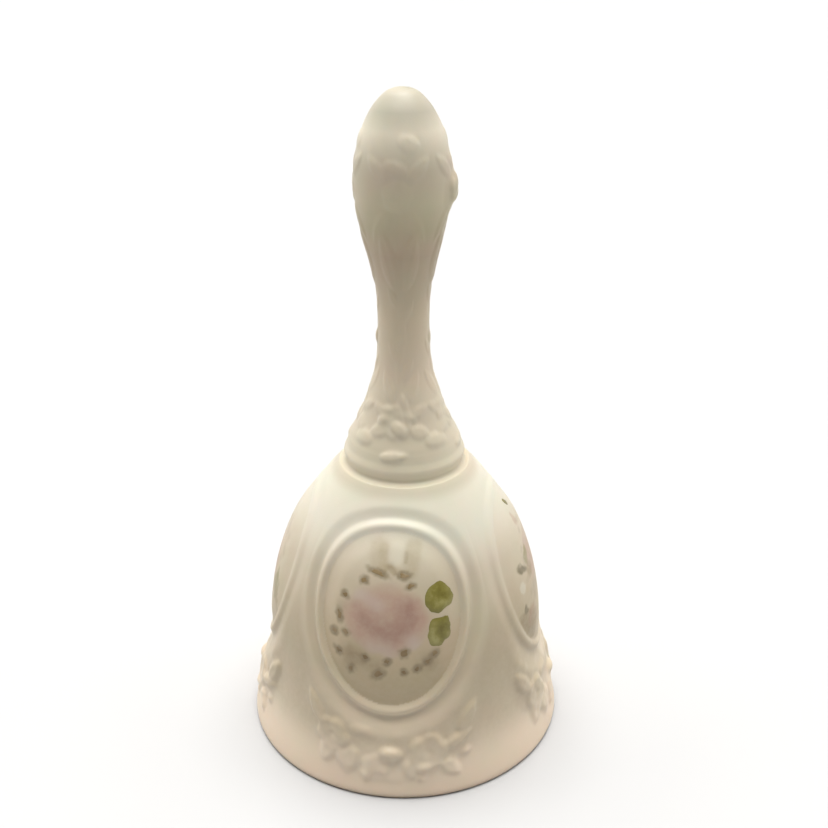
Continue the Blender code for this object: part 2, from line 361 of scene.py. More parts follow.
# The grip: two buds on its middle, and tall soft leaves on both sides.
GRIP = ((bud, (2.6, 163.6), 155.0, 6.0, 3.8, 0.28), (bud, (-0.4, 158.0), 160.0, 6.4, 3.8, 0.34))
GRIP_PAIRS = (
    (leaf, (0.8, 127.0), 78.0, 17.0, 4.8, 0.34, 8), (leaf, (2.2, 148.0), -62.0, 9.0, 3.8, 0.30),
    (leaf, (2.6, 155.0), 48.0, 7.5, 3.6, 0.32),
)


def across_sides(values, index, turn):
    """A side's own value, easing to the mean with its neighbour's at the corner between them."""
    beside = np.where(turn > 0.0, values[(index + 1) % MEDALLIONS], values[index - 1])
    share = ease((np.abs(turn) - 0.5 * CORNER) / (0.5 * CORNER))
    return values[index] + 0.5 * (beside - values[index]) * share


def both_sides(x, y, stamps):
    return np.maximum(stamped(-x, y, stamps), stamped(x, y, stamps))


def handle_relief(angle, radius, height):
    """Roses and leaves climbing the handle: one design on its four sides, softer on some."""
    total = np.zeros_like(angle)
    for index in range(MEDALLIONS):
        turn, near = on_side(angle, index)
        turn = turn[near]
        x = turn * radius[near] / MM
        y = height[near] / MM
        from_corner = (CORNER - np.abs(turn)) * radius[near] / MM
        flare = np.maximum.reduce([stamped(x, y, FLARE), both_sides(x, y, FLARE_PAIRS),
                                   bud(from_corner, y, *CORNER_PETAL)])
        neck = [leaf(side * x, y, (0.3, foot), 62.0, 6.0, 2.3, 0.24) for side, foot in NECK_LEAVES]
        neck += [stem(x, y, NECK_STEM, 1.6, 0.16), bud(x, y, (0.0, 113.0), 90.0, 4.2, 2.8, NECK_BUD[index])]
        grip = [stamped(x, y, GRIP), both_sides(x, y, GRIP_PAIRS),
                rose(x, y, (0.0, 151.6), 3.8, GRIP_ROSE[index], 10.0)]
        form = np.maximum.reduce([flare * across_sides(FLARE_SPRAY, index, turn), *neck, *grip])
        total[near] = form + GRIP_SWELL[index] * ease(1.2 - np.hypot(x / 5.0, (y - 151.2) / 6.0))
    fade = ease((HEIGHT - height) / (6.0 * MM))
    return softened(total, HANDLE_MELT) * fade * MM


# ---- meshes
def linked(name, data):
    """A new object in the scene."""
    obj = bpy.data.objects.new(name, data)
    bpy.context.scene.collection.objects.link(obj)
    return obj


def mesh_from(name, verts, quads, triangles=()):
    """A smooth mesh object from arrays of vertices, quads and triangles."""
    mesh = bpy.data.meshes.new(name)
    verts = np.asarray(verts, np.float32).reshape(-1, 3)
    quads = np.asarray(quads, np.int32).reshape(-1, 4)
    triangles = np.asarray(triangles, np.int32).reshape(-1, 3)
    corners = np.concatenate([quads.ravel(), triangles.ravel()])
    counts = np.concatenate([np.full(len(quads), 4), np.full(len(triangles), 3)]).astype(np.int32)
    starts = np.concatenate([[0], np.cumsum(counts)[:-1]]).astype(np.int32)
    mesh.vertices.add(len(verts))
    mesh.vertices.foreach_set("co", verts.ravel())
    mesh.loops.add(len(corners))
    mesh.loops.foreach_set("vertex_index", corners.astype(np.int32))
    mesh.polygons.add(len(counts))
    mesh.polygons.foreach_set("loop_start", starts)
    mesh.update(calc_edges=True)
    mesh.validate()
    mesh.shade_smooth()
    return linked(name, mesh)


def ring_grid(rows, columns, first):
    """Quads between closed rings of vertices numbered from `first`.  They face out when the rows go up."""
    row = first + np.arange(rows - 1)[:, None] * columns
    above = row + columns
    this = np.arange(columns)[None, :]
    after = (this + 1) % columns
    return np.stack([row + this, row + after, above + after, above + this], -1).reshape(-1, 4)


def rings(line, columns):
    """Angle, radius and height grids for a turned line."""
    angle = np.broadcast_to(np.arange(columns) * 2.0 * math.pi / columns, (len(line), columns)).copy()
    radius = np.repeat(line[:, :1], columns, 1)
    height = np.repeat(line[:, 1:], columns, 1)
    return angle, radius, height


def positions(angle, radius, height):
    return np.stack([radius * np.cos(angle), radius * np.sin(angle), height], -1).reshape(-1, 3)


def raised(angle, radius, height, line, relief):
    """Vertices of a turned line with its relief added along the line's normals."""
    normal = outward(line)
    return positions(angle, radius + relief * normal[:, :1], height + relief * normal[:, 1:])


def make_glass():
    """Skirt, collar, handle, rim and cavity as one closed surface."""
    skirt, along = spaced(catmull(SKIRT_OUTLINE), SKIRT_STEP)
    skirt_angle, skirt_radius, height = rings(skirt, SKIRT_COLUMNS)
    relief = skirt_relief(skirt_angle, skirt_radius, np.repeat(along[:, None], SKIRT_COLUMNS, 1))
    verts = [raised(skirt_angle, skirt_radius, height, skirt, relief)]
    quads = [ring_grid(len(skirt), SKIRT_COLUMNS, 0)]
    top_ring = (len(skirt) - 1) * SKIRT_COLUMNS
    count = len(skirt) * SKIRT_COLUMNS

    # collar and handle, on a coarser ring: two columns of the skirt meet one of theirs
    collar = spaced(catmull(COLLAR_OUTLINE, 8), COLLAR_STEP)[0]
    handle = spaced(catmull(HANDLE_OUTLINE), HANDLE_STEP)[0]
    upper = np.concatenate([collar[1:], handle[1:]])
    angle, radius, height = rings(upper, HANDLE_COLUMNS)
    verts.append(raised(angle, radius, height, upper, handle_relief(angle, radius, height)))
    quads.append(ring_grid(len(upper), HANDLE_COLUMNS, count))
    here = np.arange(HANDLE_COLUMNS)
    after = (here + 1) % HANDLE_COLUMNS
    below = top_ring + 2 * here
    below_after = top_ring + (2 * here + 2) % SKIRT_COLUMNS
    triangles = [np.stack([below, below + 1, count + here], 1),
                 np.stack([below + 1, count + after, count + here], 1),
                 np.stack([below + 1, below_after, count + after], 1)]
    count += len(upper) * HANDLE_COLUMNS
    verts.append([[0.0, 0.0, HEIGHT]])
    last = count - HANDLE_COLUMNS
    triangles.append(np.stack([last + here, last + after, np.full_like(here, count)], 1))
    count += 1

    # the rim's rounding is kept fine and the rest of the cavity coarse, up to the socket's flat top
    edge = catmull(CAVITY_OUTLINE, 12)
    coarse = spaced(edge, INSIDE_STEP)[0]
    cavity = np.concatenate([edge[edge[:, 1] < 0.0014], coarse[coarse[:, 1] > 0.0018], SOCKET_OUTLINE])
    verts.append(positions(*rings(cavity, SKIRT_COLUMNS)))
    quads.append(ring_grid(len(cavity), SKIRT_COLUMNS, count)[:, ::-1])
    here = np.arange(SKIRT_COLUMNS)
    after = (here + 1) % SKIRT_COLUMNS
    quads.append(np.stack([here, count + here, count + after, after], 1))
    count += len(cavity) * SKIRT_COLUMNS
    verts.append([[0.0, 0.0, SOCKET_TOP]])
    last = count - SKIRT_COLUMNS
    triangles.append(np.stack([last + after, last + here, np.full_like(here, count)], 1))

    glass = mesh_from("satin_glass", np.concatenate([np.asarray(v, float) for v in verts]),
                      np.concatenate(quads), np.concatenate(triangles))
    paint_washes_and_painted_shade(glass, skirt_angle, skirt_radius, along)
    return glass


# ---- painted sprays
ROSE_PALE = (0.500, 0.390, 0.293)
ROSE_PINK = (0.455, 0.290, 0.221)
ROSE_MAUVE = (0.335, 0.192, 0.152)
ROSE_LIGHT = (0.545, 0.450, 0.400)
RUST = (0.36, 0.19, 0.12)
TAN = (0.375, 0.300, 0.175)
HIGHLIGHT = (0.62, 0.575, 0.46)
SHADE = (0.27, 0.200, 0.110)
LEAFLET = (0.225, 0.175, 0.10)
# Painted shade laid over the foot of each field, and how thick it is laid.
PAINTED_FIELD_SHADE = (0.34, 0.270, 0.145)
PAINTED_FIELD_SHADE_COVER = 0.26
# A warm tint over each field, laid thicker towards its foot as painted shade.
FIELD_TINT_AND_SHADE = (0.40, 0.275, 0.115)
FIELD_TINT_AND_SHADE_COVER = (0.16, 0.34)     # at the field's top and foot
# Painted shade on the glass between the ovals, and how thick it is laid.
PAINTED_SHADE_BETWEEN_OVALS = (0.36, 0.285, 0.175)
PAINTED_SHADE_BETWEEN_OVALS_COVER = 0.46

# The four sprays are one design, painted by hand: turned (degrees), moved, drawn smaller, pink or rust, and
# whole or worn thin.
SPRAYS = [dict(zip(("turn", "shift", "size", "rust", "wear", "seed"), row)) for row in (
    (0.0, (0.45, 0.75), 1.0, 0.0, 0.0, 3), (0.0, (4.0, 2.6), 0.82, 0.6, 0.40, 11),
    (12.0, (0.45, 0.75), 1.0, 0.1, 0.0, 23), (-50.0, (-0.6, -0.4), 1.0, 0.4, 0.40, 31),
)]
WORN_LEAFLETS = 0.40
WORN_STROKES = 0.15
ROSE_CENTRE = (-1.2, -0.6)
ROSE_HALF = (11.8, 9.9)
# Brush strokes of the rose, about its centre: points, half width, colour, cover.
ROSE_STROKES = (
    (((-6.0, 0.4), (-2.6, -2.2), (1.4, -3.2), (4.8, -2.0), (6.2, 0.8), (5.6, 4.6)), 1.9, ROSE_MAUVE, 0.60),
    (((-7.6, 3.4), (-6.0, 0.6)), 1.6, ROSE_MAUVE, 0.28),
    (((0.6, -0.8), (4.2, -0.4), (5.4, 2.6)), 2.5, ROSE_MAUVE, 0.42),
    (((-3.2, 2.6), (-0.8, 0.6), (2.0, 0.6), (3.4, 2.6)), 1.2, ROSE_MAUVE, 0.22),
    (((-9.4, 1.6), (-9.2, -2.2), (-6.4, -5.6)), 1.8, ROSE_PINK, 0.45),
    (((8.6, 5.0), (9.0, 0.4), (8.4, -2.4)), 1.8, ROSE_PINK, 0.50),
    (((-6.8, 6.4), (-4.4, 5.4), (-1.6, 4.0)), 1.9, ROSE_LIGHT, 0.55),
    (((7.0, -5.0), (8.2, -7.2)), 2.0, ROSE_LIGHT, 0.60),
    (((-3.6, -6.6), (0.6, -7.4)), 1.9, ROSE_LIGHT, 0.40),
    (((-0.6, 0.4), (0.6, 1.0)), 1.3, ROSE_PALE, 0.35),
)
# Thin tan strokes at the top of the oval.
TOP_STROKES = (
    (((-3.6, 18.6), (-3.6, 13.4)), 2.4, TAN, 0.34), (((-2.6, 18.6), (-2.4, 13.0)), 1.3, TAN, 0.34),
    (((4.9, 18.8), (4.6, 12.6)), 2.1, TAN, 0.40), (((3.2, 17.2), (3.2, 15.0)), 0.6, SHADE, 0.30),
    (((-1.0, 13.4), (1.8, 12.4)), 1.2, TAN, 0.42), (((-0.6, 13.6), (0.6, 12.2)), 0.8, SHADE, 0.40),
    (((0.8, 19.4), (0.7, 15.6)), 1.70, HIGHLIGHT, 0.90),
)
# The two broad leaves: place, then how far the edge lies from it at every twelfth of a turn.
BROAD_LEAVES = (
    ((12.0, 5.3), (4.2, 3.7, 3.5, 4.5, 4.3, 4.1, 3.9, 3.6, 4.0, 3.9, 3.1, 4.1)),
    ((12.3, -3.3), (3.1, 3.3, 4.2, 3.5, 4.1, 3.1, 2.9, 3.3, 4.1, 4.1, 3.2, 3.5)),
)
# Leaflets: place, half length, half width, lean in degrees.
LEAFLETS = (
    ((-3.7, 12.0), 2.8, 0.80, -17), ((-7.1, 9.7), 1.1, 0.85, 10), ((2.9, 11.6), 1.7, 0.80, -4),
    ((4.6, 9.0), 1.2, 0.80, 20), ((-12.1, 5.0), 0.95, 0.75, 0), ((-13.6, -0.6), 1.6, 0.85, 100),
    ((-15.2, -5.2), 1.1, 1.0, 30), ((-11.8, -4.6), 1.0, 0.85, -40), ((-14.0, -10.1), 1.4, 0.95, -20),
    ((-6.3, -10.4), 1.2, 0.75, -15), ((-10.3, -14.4), 1.2, 0.90, 70), ((-0.8, -10.9), 0.95, 0.90, 60),
    ((-3.0, -14.7), 1.8, 1.15, 25), ((3.6, -8.4), 1.35, 1.05, 55), ((3.5, -13.8), 0.95, 0.80, -50),
    ((6.8, -12.9), 1.0, 0.90, 40), ((9.4, -11.0), 1.25, 0.85, 30), ((11.3, -9.0), 1.05, 0.85, 20),
)
# Soft smudges of leaf colour between the leaflets: place, half width, cover.
SMUDGES = (
    ((-10.2, -9.8), 2.6, 0.70), ((-13.4, 1.8), 1.6, 0.30), ((-10.6, -12.6), 1.9, 0.58),
    ((-0.6, 13.9), 1.1, 0.34), ((9.8, -11.2), 2.8, 0.66), ((-7.2, -11.2), 2.4, 0.62),
    ((11.6, -8.0), 1.2, 0.28), ((-3.4, -12.4), 2.2, 0.45),
)
DARK_LEAF = (0.165, 0.135, 0.070)
LEAF_WASH = (0.270, 0.235, 0.105)
BROWN = (0.290, 0.215, 0.115)
# Touches that a worn side has besides, on its field: place, half length, half width, lean, colour, cover.
TOUCHES = {
    1: (
        ((-1.4, 14.0), 2.6, 1.2, 110, RUST, 0.40), ((-4.6, 4.4), 3.0, 1.7, 50, LEAF_WASH, 0.80),
        ((-5.0, 0.0), 3.0, 2.4, 0, BROWN, 0.60), ((-9.8, 2.6), 3.2, 1.35, -29, DARK_LEAF, 0.92),
        ((-12.0, -2.0), 1.9, 1.9, 0, HIGHLIGHT, 0.90), ((-13.6, -11.8), 4.6, 3.8, 0, BROWN, 0.80),
        ((-9.0, -12.6), 3.8, 4.0, 0, RUST, 0.55), ((-8.4, -14.0), 3.0, 3.6, 0, BROWN, 0.70),
        ((-10.6, -17.0), 4.6, 2.2, -30, BROWN, 0.75), ((-12.8, -8.4), 1.3, 1.9, 0, DARK_LEAF, 0.95),
    ),
    3: (
        ((11.6, -5.4), 5.6, 1.4, 95, LEAF_WASH, 0.80), ((13.8, -8.6), 3.4, 1.4, 108, BROWN, 0.50),
        ((17.0, -12.6), 2.8, 1.3, 128, BROWN, 0.50),
    ),
}


def in_design(x, y, spray):
    """Places on a medallion's field as places in the design."""
    u, v = turned_to(x, y, spray["shift"], spray["turn"])
    return u / spray["size"], v / spray["size"]


def on_field(x, y, spray):
    """Places in the design as places on a medallion's field."""
    u, v = turned_to(x * spray["size"], y * spray["size"], (0.0, 0.0), -spray["turn"])
    return u + spray["shift"][0], v + spray["shift"][1]


def lay(colour, cover, paint, amount):
    """Paint over what is there, as thin colour does."""
    amount = np.clip(amount, 0.0, 1.0)
    new_cover = cover + (1.0 - cover) * amount
    share = amount / np.maximum(new_cover, 1e-6)
    for k in range(3):
        colour[:, k] = colour[:, k] * (1.0 - share) + paint[k] * share
    return new_cover


def spray_wash_and_painted_shade(x, y, spray):
    """Soft petals of one rose, faint strokes above it and the thin edges of the leaflets' paint, over a
    field tint laid thicker towards the foot as painted shade.
    """
    colour = np.tile(np.array(FIELD_TINT_AND_SHADE), (len(x), 1))
    top, foot = FIELD_TINT_AND_SHADE_COVER
    # the tint grows thicker towards the foot as painted shade
    cover = top + (foot - top) * ease((4.0 - y) / 16.0)
    wander = 0.55 * speckle(x + 80, y + 80, spray["seed"] + 1, 3.1)
    u, v = x - ROSE_CENTRE[0] + wander, y - ROSE_CENTRE[1] - wander
    far = np.hypot(u / ROSE_HALF[0], v / ROSE_HALF[1])
    far = far * (1.0 + 0.09 * speckle(x + 40, y + 40, spray["seed"], 4.5))
    inside = ease((1.02 - far) / 0.16)
    rust = spray["rust"]

    def tinted(paint):
        return [p * (1.0 - rust) + r * rust for p, r in zip(paint, RUST)]
    cover = lay(colour, cover, tinted(ROSE_PALE), 0.62 * inside)
    cover = lay(colour, cover, tinted(ROSE_PINK), 0.72 * ease((0.95 - far) / 0.35))
    for points, half, paint, amount in ROSE_STROKES:
        stroke = np.exp(-(from_line(u, v, points) / half) ** 2)
        cover = lay(colour, cover, tinted(paint), amount * stroke * inside)
    for points, half, paint, amount in TOP_STROKES:
        stroke = np.exp(-(from_line(x + 0.5 * wander, y, points) / half) ** 4)
        cover = lay(colour, cover, paint, amount * stroke * (WORN_STROKES if spray["wear"] else 1.0))
    for (px, py), half, amount in SMUDGES:
        cover = lay(colour, cover, SHADE, amount * np.exp(-(np.hypot(x - px, y - py) / half) ** 2))
    ragged = 0.38 * speckle(x + 30, y + 30, spray["seed"] + 2, 0.9)
    y = y + 0.38 * speckle(x + 90, y + 90, spray["seed"] + 3, 0.9)
    x = x + ragged
    whole = 0.86 * (WORN_LEAFLETS if spray["wear"] else 1.0)
    for (px, py), length, width, lean in LEAFLETS:
        along, across = turned_to(x, y, (px, py), lean)
        halo = np.hypot(along / (length + 0.35), across / (width + 0.35))
        cover = lay(colour, cover, LEAFLET, whole * ease((1.45 - halo) / 0.95))
    if spray["wear"]:
        for (px, py), radii in BROAD_LEAVES:
            turn = np.degrees(np.arctan2(y - py, x - px))
            reach = np.interp(turn, np.arange(0, 361, 30), radii + radii[:1], period=360.0)
            cover = lay(colour, cover, LEAF_WASH, ease((1.08 - np.hypot(x - px, y - py) / reach) / 0.35))
    return colour, cover * (1.0 - spray["wear"])


def touches(x, y, index, colour, cover):
    """The worn sides' own touches of paint."""
    ragged_x = x + 0.5 * speckle(x + 30, y + 30, index + 50, 1.1)
    ragged_y = y + 0.5 * speckle(x + 90, y + 90, index + 60, 1.1)
    for place, length, width, lean, paint, amount in TOUCHES.get(index, ()):
        along, across = turned_to(ragged_x, ragged_y, place, lean)
        inside = ease((1.15 - np.hypot(along / length, across / width)) / 0.5)
        cover = lay(colour, cover, paint, amount * inside)
    return cover


def paint_washes_and_painted_shade(glass, angle, radius, along):
    """Stores the soft paint of the sprays, and the painted shade on the fields' feet and between the ovals,
    on the glass as a colour attribute, with its cover in alpha.
    """
    data = np.zeros((len(glass.data.vertices), 4), np.float32)
    data[:, :3] = ROSE_PALE
    y_all = np.repeat(along[:, None], angle.shape[1], 1) / MM - OVAL_CENTRE
    for index, spray in enumerate(SPRAYS):
        turn, side = on_side(angle, index)
        x_all = turn * radius / MM
        near = (np.abs(turn) < math.pi / MEDALLIONS) & (from_oval(x_all, y_all) < -1.5)
        x, y = x_all[near], y_all[near]
        colour, cover = spray_wash_and_painted_shade(*in_design(x, y, spray), spray)
        cover = touches(x, y, index, colour, cover)
        # painted shade over the foot of the field
        cover = lay(colour, cover, PAINTED_FIELD_SHADE, PAINTED_FIELD_SHADE_COVER * ease((-9.0 - y) / 9.0))
        # how far each point of a worn side lies towards the front, where the painted shade from between the
        # ovals reaches over its oval
        forward = (index - 2) * x_all if spray["wear"] else np.zeros_like(x_all)
        cover = lay(colour, cover, PAINTED_SHADE_BETWEEN_OVALS,
                    PAINTED_FIELD_SHADE_COVER * ease(forward[near] / 9.0) * ease((6.0 - y) / 16.0))
        places = np.nonzero(near.ravel())[0]
        data[places, :3] = colour
        data[places, 3] = cover
        # painted shade on the glass between the ovals
        outside = side & ~near
        x, y = x_all[outside], y_all[outside]
        places = np.nonzero(outside.ravel())[0]
        data[places, :3] = PAINTED_SHADE_BETWEEN_OVALS
        start = 4.0 - 9.0 * ease(forward[outside] / 9.0)
        shade = PAINTED_SHADE_BETWEEN_OVALS_COVER * ease((from_oval(x, y) - start) / 5.0)
        data[places, 3] = shade * ease((6.0 - y) / 16.0) * ease((y + 43.0) / 12.0)
    layer = glass.data.color_attributes.new("paint_and_painted_shade", "FLOAT_COLOR", "POINT")
    layer.data.foreach_set("color", data.ravel())


class Skirt:
    """Where a point of a medallion's field lies: x around and y up, in millimetres, to metres."""

    def __init__(self):
        self.line, self.along = spaced(catmull(SKIRT_OUTLINE), 0.2 * MM)
        self.normal = outward(self.line)

    def __call__(self, index, x, y, lift):
        distance = (y + OVAL_CENTRE) * MM
        radius, height, nr, nz = (np.interp(distance, self.along, column)
                                  for column in (*self.line.T, *self.normal.T))
        angle = facing(index) + x * MM / radius
        rise = (border(x, y, index) + lift) * MM
        return positions(angle, radius + rise * nr, height + rise * nz)


DAUB_RINGS = 6
DAUB_SIDES = 36


def blot(radii):
    """A smooth closed edge through radii that are evenly spaced about its middle."""
    waves = np.fft.rfft(radii)

    def edge(turn):
        wave = np.arange(len(waves))[:, None]
        weight = np.where((wave == 0) | (wave * 2 == len(radii)), 1.0, 2.0) / len(radii)
        reach = (weight * (waves[:, None] * np.exp(1j * wave * turn[None, :])).real).sum(0)
        return reach * np.cos(turn), reach * np.sin(turn)
    return edge


def leaned(edge, length, width, lean):
    """The edge stretched to half length and half width, and leaned."""
    def placed(turn):
        x, y = edge(turn)
        return turned_to(x * length, y * width, (0.0, 0.0), -lean)
    return placed


def daub(skirt, index, place, outline, thickness):
    """One low cushion of enamel, with how far each point lies from its middle, 0 to 1."""
    turn = np.arange(DAUB_SIDES) * 2.0 * math.pi / DAUB_SIDES
    shares = [math.sin(ring / DAUB_RINGS * math.pi / 2.0) for ring in range(1, DAUB_RINGS + 1)]
    far = np.concatenate([[0.0], np.repeat(shares, DAUB_SIDES)])
    xs, ys = (middle + np.concatenate([[0.0], np.tile(edge, DAUB_RINGS)]) * far
              for middle, edge in zip(place, outline(turn)))
    lift = thickness * (1.0 - far ** 6) + 0.25 * thickness * far ** 2 * (1.0 - far ** 6) - 0.02 * far ** 6
    verts = skirt(index, *on_field(xs, ys, SPRAYS[index]), lift)
    around = np.arange(DAUB_SIDES)
    fan = np.stack([np.zeros_like(around), 1 + around, 1 + (around + 1) % DAUB_SIDES], 1)
    quads = ring_grid(DAUB_RINGS, DAUB_SIDES, 1)[:, [0, 3, 2, 1]]
    return verts, quads, fan, far


def gather(name, parts):
    """One object from many (verts, quads, triangles), or (verts, quads, triangles, pool) for enamel."""
    starts = np.cumsum([0] + [len(part[0]) for part in parts])
    verts = np.concatenate([part[0] for part in parts])
    quads, fans = (np.concatenate([part[k] + start for part, start in zip(parts, starts)]) for k in (1, 2))
    pool = [part[3] if len(part) > 3 else np.zeros(len(part[0])) for part in parts]
    made = mesh_from(name, verts, quads, fans)
    layer = made.data.attributes.new("pool", "FLOAT", "POINT")
    layer.data.foreach_set("value", np.concatenate(pool).astype(np.float32))
    return made


TOP_LEAF = (2.6, 2.3, 1.7, 1.3, 1.5, 2.0, 2.5, 1.9, 1.4, 1.2, 1.5, 2.1)
TOP_LEAF_PLACE = (-4.2, 19.6)
LEAF_THICKNESS = 0.13
TOP_LEAF_THICKNESS = 0.08
LEAFLET_THICKNESS = 0.04


def make_leaves(skirt):
    """The two broad leaves beside each rose that isn't worn, and a small one at the top of one oval."""
    parts = []
    for index, spray in enumerate(SPRAYS):
        rng = np.random.default_rng(spray["seed"] + 5)
        for place, radii in BROAD_LEAVES:
            ragged = np.repeat(radii, 2) + rng.uniform(-0.22, 0.22, 24)
            ragged[1::2] = 0.5 * (ragged[::2] + np.roll(ragged[::2], -1)) + rng.uniform(-0.22, 0.22, 12)
            if not spray["wear"]:
                parts.append(daub(skirt, index, place, blot(ragged), LEAF_THICKNESS))
    outline = leaned(blot(TOP_LEAF), 0.8, 0.7, -55.0)
    parts.append(daub(skirt, 1, TOP_LEAF_PLACE, outline, TOP_LEAF_THICKNESS))
    return gather("enamel_leaves", parts)


def make_leaflets(skirt):
    """Small brown leaflets round each rose, away from its broad leaves, but not where it is worn."""
    parts = []
    for index, spray in enumerate(SPRAYS):
        rng = np.random.default_rng(spray["seed"])
        for place, length, width, lean in LEAFLETS:
            shape = blot(1.0 + rng.uniform(-0.34, 0.30, 9))
            outline = leaned(shape, 0.72 * length, 0.72 * width, lean)
            if not spray["wear"]:
                parts.append(daub(skirt, index, place, outline, LEAFLET_THICKNESS))
    return gather("enamel_leaflets", parts)


# ---- wire, bead and cement
WIRE_SIDES = 18


def tube(points, radius, closed=False):
    """Vertices, quads and caps of a round wire along a flat line of points.  Open ends are domed."""
    p = np.asarray(points, float)
    if closed:
        tangent = np.roll(p, -1, 0) - np.roll(p, 1, 0)
    else:
        tangent = np.concatenate([p[1:], p[-1:]]) - np.concatenate([p[:1], p[:-1]])
    tangent /= np.linalg.norm(tangent, axis=1, keepdims=True)
    spread = np.ptp(p, axis=0)
    flat = np.zeros(3)
    flat[0 if spread[0] < spread[1] else 1] = 1.0
    side = np.cross(tangent, flat)
    this = np.arange(WIRE_SIDES)
    after = (this + 1) % WIRE_SIDES
    turn = (this * 2.0 * math.pi / WIRE_SIDES)[None, :, None]
    ring = np.cos(turn) * flat + np.sin(turn) * side[:, None, :]
    verts = (p[:, None, :] + ring * radius).reshape(-1, 3)
    row = np.arange(len(p) if closed else len(p) - 1)[:, None] * WIRE_SIDES
    ahead = (row + WIRE_SIDES) % (len(p) * WIRE_SIDES)
    quads = np.stack([row + this, ahead + this, ahead + after, row + after], -1).reshape(-1, 4)
    caps = np.zeros((0, 3), int)
    if not closed:
        start, last = len(verts), (len(p) - 1) * WIRE_SIDES
        domes = np.stack([p[0] - tangent[0] * radius * 0.35, p[-1] + tangent[-1] * radius * 0.35])
        verts = np.concatenate([verts, domes])
        caps = np.concatenate([np.stack([np.full_like(this, start), this, after], 1),
                               np.stack([last + this, np.full_like(this, start + 1), last + after], 1)])
    return verts, quads, caps


def lathe(line, columns, centre=(0.0, 0.0, 0.0)):
    """A turned solid from a (radius, height) line up its outside, which closes on the axis or on itself."""
    verts = positions(*rings(np.asarray(line, float), columns)) + np.asarray(centre)
    return verts, ring_grid(len(line), columns, 0), np.zeros((0, 3), int)


def finished(obj, material):
    """The object with doubled points merged, its faces turned out, and its material."""
    maker = bmesh.new()
    maker.from_mesh(obj.data)
    bmesh.ops.remove_doubles(maker, verts=maker.verts, dist=0.000004)
    bmesh.ops.recalc_face_normals(maker, faces=maker.faces)
    maker.to_mesh(obj.data)
    maker.free()
    obj.data.shade_smooth()
    material.put(obj)
    return obj


# ---- materials
class Shader:
    """A Principled material and short ways to add nodes to it."""

    def __init__(self, name, constants):
        self.material = bpy.data.materials.new(name)
        self.material.use_nodes = True
        self.tree = self.material.node_tree
        self.main = self.tree.nodes["Principled BSDF"]
        for key, value in constants.items():
            self.main.inputs[key].default_value = value

    def fill(self, socket, value):
        """A number or a colour of the socket's own, or a link from another node."""
        if isinstance(value, (int, float)):
            socket.default_value = value
        elif isinstance(value, tuple):
            socket.default_value = (*value, 1.0)
        else:
            self.tree.links.new(value, socket)

    def node(self, kind, inputs, **values):
        made = self.tree.nodes.new(kind)
        for key, value in values.items():
            setattr(made, key, value)
        for key, value in inputs.items():
            self.fill(made.inputs[key], value)
        return made

    def coordinates(self):
        return self.node("ShaderNodeTexCoord", {}).outputs["Object"]

    def noise(self, scale, detail, roughness=0.5):
        return self.node("ShaderNodeTexNoise", {"Scale": scale, "Detail": detail, "Roughness": roughness,
                                                "Vector": self.coordinates()}).outputs["Fac"]

    def ramp(self, source, stops):
        made = self.node("ShaderNodeValToRGB", {"Fac": source})
        marks = made.color_ramp.elements
        while len(marks) < len(stops):
            marks.new(0.5)
        for mark, (place, colour) in zip(marks, stops):
            mark.position = place
            mark.color = (*colour, 1.0)
        return made.outputs["Color"]

    def span(self, source, low, high, to_low=0.0, to_high=1.0):
        return self.node("ShaderNodeMapRange", {"Value": source, "From Min": low, "From Max": high,
                                                "To Min": to_low, "To Max": to_high}).outputs["Result"]

    def mix(self, share, first, second):
        """Two colours mixed: a Mix node's sockets for colour are 6 and 7, and 2 on its way out."""
        return self.node("ShaderNodeMix", {0: share, 6: first, 7: second}, data_type="RGBA").outputs[2]

    def colour(self, source):
        self.fill(self.main.inputs["Base Color"], source)

    def rough(self, source):
        self.fill(self.main.inputs["Roughness"], source)

    def bump(self, source, strength, distance):
        made = self.node("ShaderNodeBump", {"Strength": strength, "Distance": distance, "Height": source})
        self.fill(self.main.inputs["Normal"], made.outputs["Normal"])

    def put(self, obj):
        obj.data.materials.clear()
        obj.data.materials.append(self.material)


# The glass's colour up the bell, from its foot to TONE_TOP metres, with painted light and shade in it: a
# painted shadow along the foot's edge, painted light on the rim, the dome's shoulders and the top of the
# grip, and painted shade in the groove under the collar and under the grip's swell.
TONE_TOP = 0.17
GLASS_TONE_AND_PAINTED_LIGHT = (
    (0.0, (0.340, 0.247, 0.173)), (0.006, (0.800, 0.637, 0.491)), (0.08, (0.750, 0.637, 0.495)),
    (0.20, (0.545, 0.457, 0.323)), (0.27, (0.532, 0.452, 0.321)), (0.34, (0.565, 0.493, 0.384)),
    (0.40, (0.648, 0.624, 0.535)), (0.44, (0.677, 0.652, 0.546)), (0.452, (0.540, 0.494, 0.391)),
    (0.462, (0.610, 0.554, 0.427)), (0.47, (0.745, 0.666, 0.506)), (0.48, (0.700, 0.627, 0.482)),
    (0.49, (0.668, 0.607, 0.467)), (0.51, (0.608, 0.545, 0.418)), (0.53, (0.595, 0.531, 0.411)),
    (0.58, (0.653, 0.569, 0.438)), (0.62, (0.633, 0.532, 0.400)), (0.70, (0.559, 0.467, 0.327)),
    (0.76, (0.440, 0.355, 0.246)), (0.80, (0.388, 0.296, 0.198)), (0.84, (0.414, 0.356, 0.222)),
    (0.88, (0.516, 0.458, 0.310)), (0.925, (0.530, 0.458, 0.348)), (0.975, (0.770, 0.705, 0.577)),
    (1.0, (0.453, 0.422, 0.343)))


